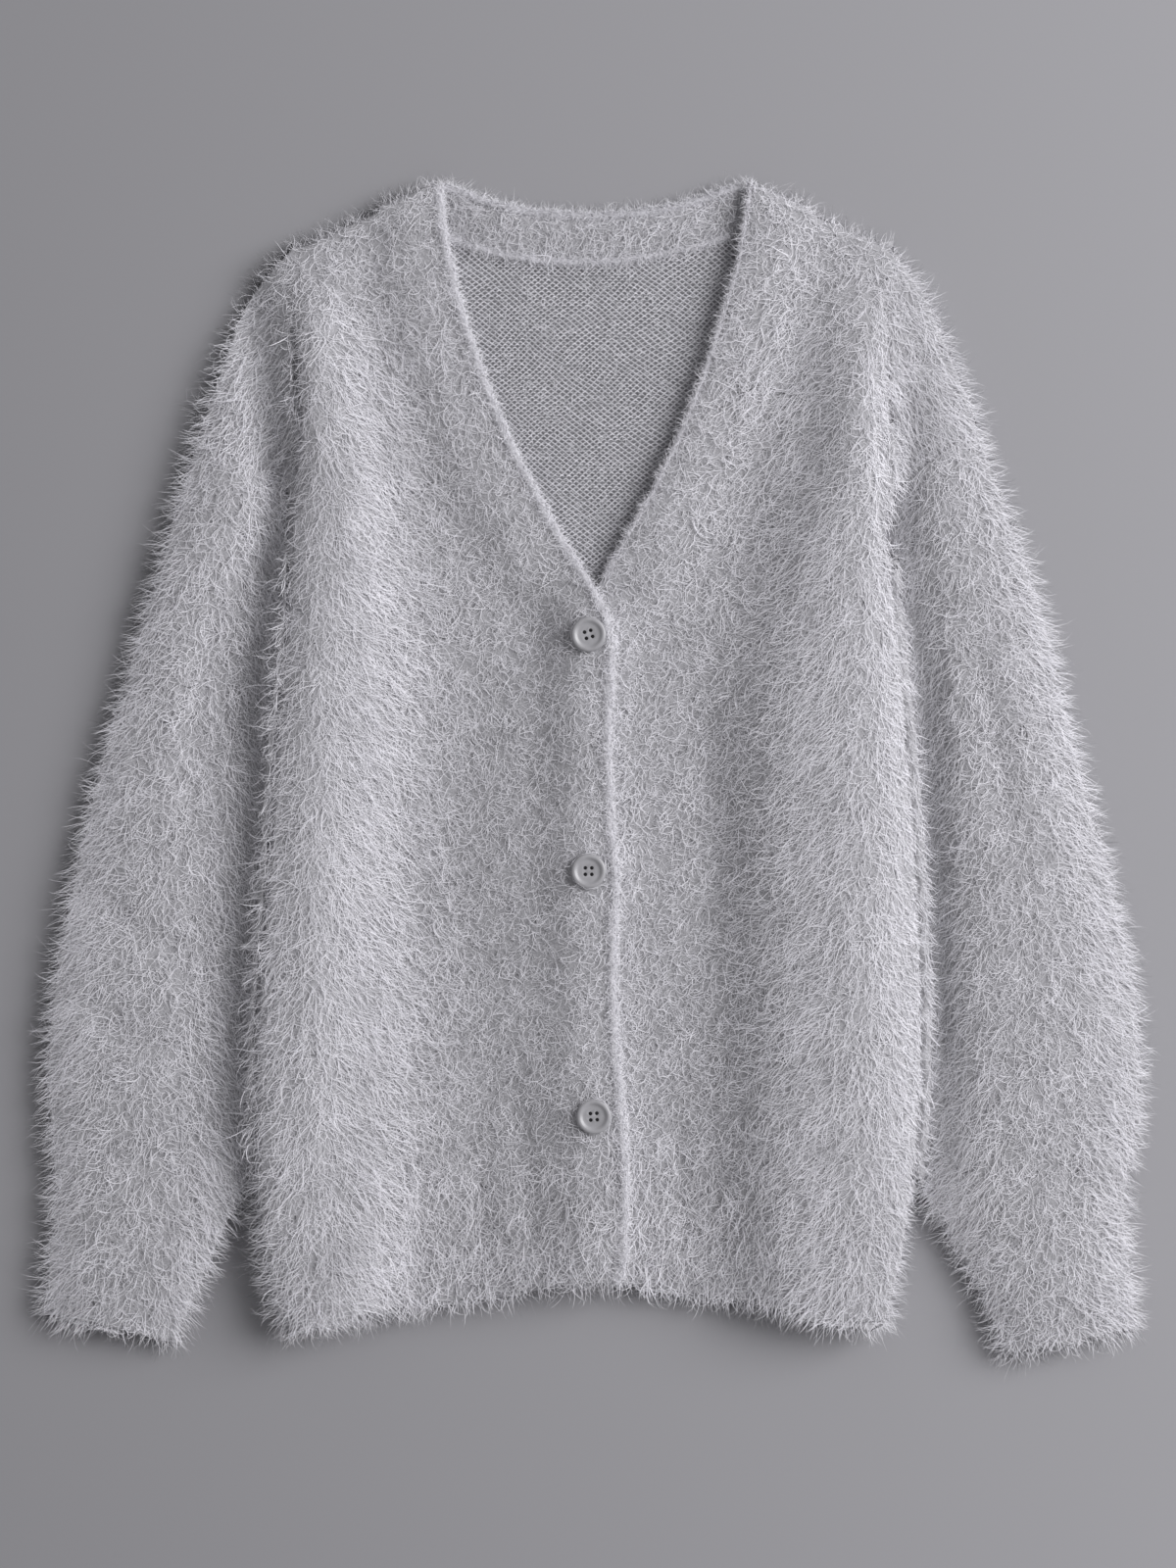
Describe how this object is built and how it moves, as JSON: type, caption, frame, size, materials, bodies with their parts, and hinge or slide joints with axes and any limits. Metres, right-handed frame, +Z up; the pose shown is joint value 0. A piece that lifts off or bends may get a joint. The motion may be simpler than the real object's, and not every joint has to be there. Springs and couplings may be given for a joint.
{
  "type": "button cardigan",
  "caption": "Long-haired knitted cardigan with a deep V neck, drop shoulders and ribbed bands, hem and cuffs, buttoned and laid flat with its sides folded under.",
  "frame": {"origin": "on the surface that the cardigan lies on, below the middle of its bounding box", "axes": "+Z up from the surface, +Y from the hem to the neck, +X towards the wearer's left"},
  "size_m": [0.644, 0.6852, 0.028],
  "materials": {
    "fluffy_knit": "brushed long-haired knit, light heather grey, soft sheen",
    "rib_knit": "brushed rib knit, light heather grey, shorter hair",
    "button_resin": "satin grey resin"
  },
  "bodies": {
    "root": {"back": "fluffy_knit", "front_right": "fluffy_knit", "front_left": "fluffy_knit", "sleeve_right": "fluffy_knit", "sleeve_left": "fluffy_knit", "hem_back": "rib_knit", "hem_front_right": "rib_knit", "hem_front_left": "rib_knit", "band_right": "rib_knit", "band_left": "rib_knit", "band_back_neck": "rib_knit", "cuff_right": "rib_knit", "cuff_left": "rib_knit", "button_1": "button_resin", "button_2": "button_resin", "button_3": "button_resin"}
  },
  "joints": []
}
